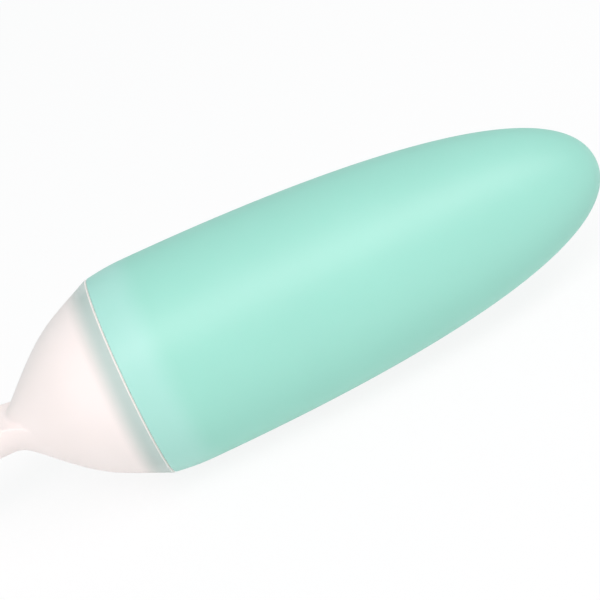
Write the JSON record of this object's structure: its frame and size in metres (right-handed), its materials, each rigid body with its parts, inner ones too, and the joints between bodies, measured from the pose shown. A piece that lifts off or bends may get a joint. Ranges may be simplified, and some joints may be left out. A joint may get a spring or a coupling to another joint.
{
  "type": "baby food squeeze spoon",
  "caption": "Squeeze spoon for baby food: a soft bulb feeds a hollow-stemmed spoon through a screw-on dome.",
  "frame": {"origin": "middle of the bounding box's bottom face: the spoon lies on the belly of its bulb, bowl side up", "axes": "+X along the spoon, from the bowl towards the closed end of the bulb; +Y across it; +Z out of the open side of the bowl"},
  "size_m": [0.1941, 0.0446, 0.0441],
  "materials": {
    "mint_silicone": "satin",
    "white_polypropylene": "satin",
    "pale_silicone": "matte",
    "milky_polypropylene": "satin"
  },
  "bodies": {
    "bulb": {"squeeze_bulb": "mint_silicone", "neck_ring": "white_polypropylene"},
    "seal": {"seal_ring": "pale_silicone"},
    "head": {"spoon_head": "milky_polypropylene"}
  },
  "joints": [
    {"name": "head_rise", "type": "slide", "parent": "bulb", "child": "seal", "axis": [-1, 0, 0], "range_m": [0, 0.012]},
    {"name": "head_turn", "type": "hinge", "parent": "seal", "child": "head", "pos_m": [0, 0, 0.0218], "axis": [-1, 0, 0], "range_deg": [0, 360]}
  ],
  "couplings": [
    {"joint": "head_rise", "follows": "head_turn", "m_per_rad": 0.0019099}
  ]
}
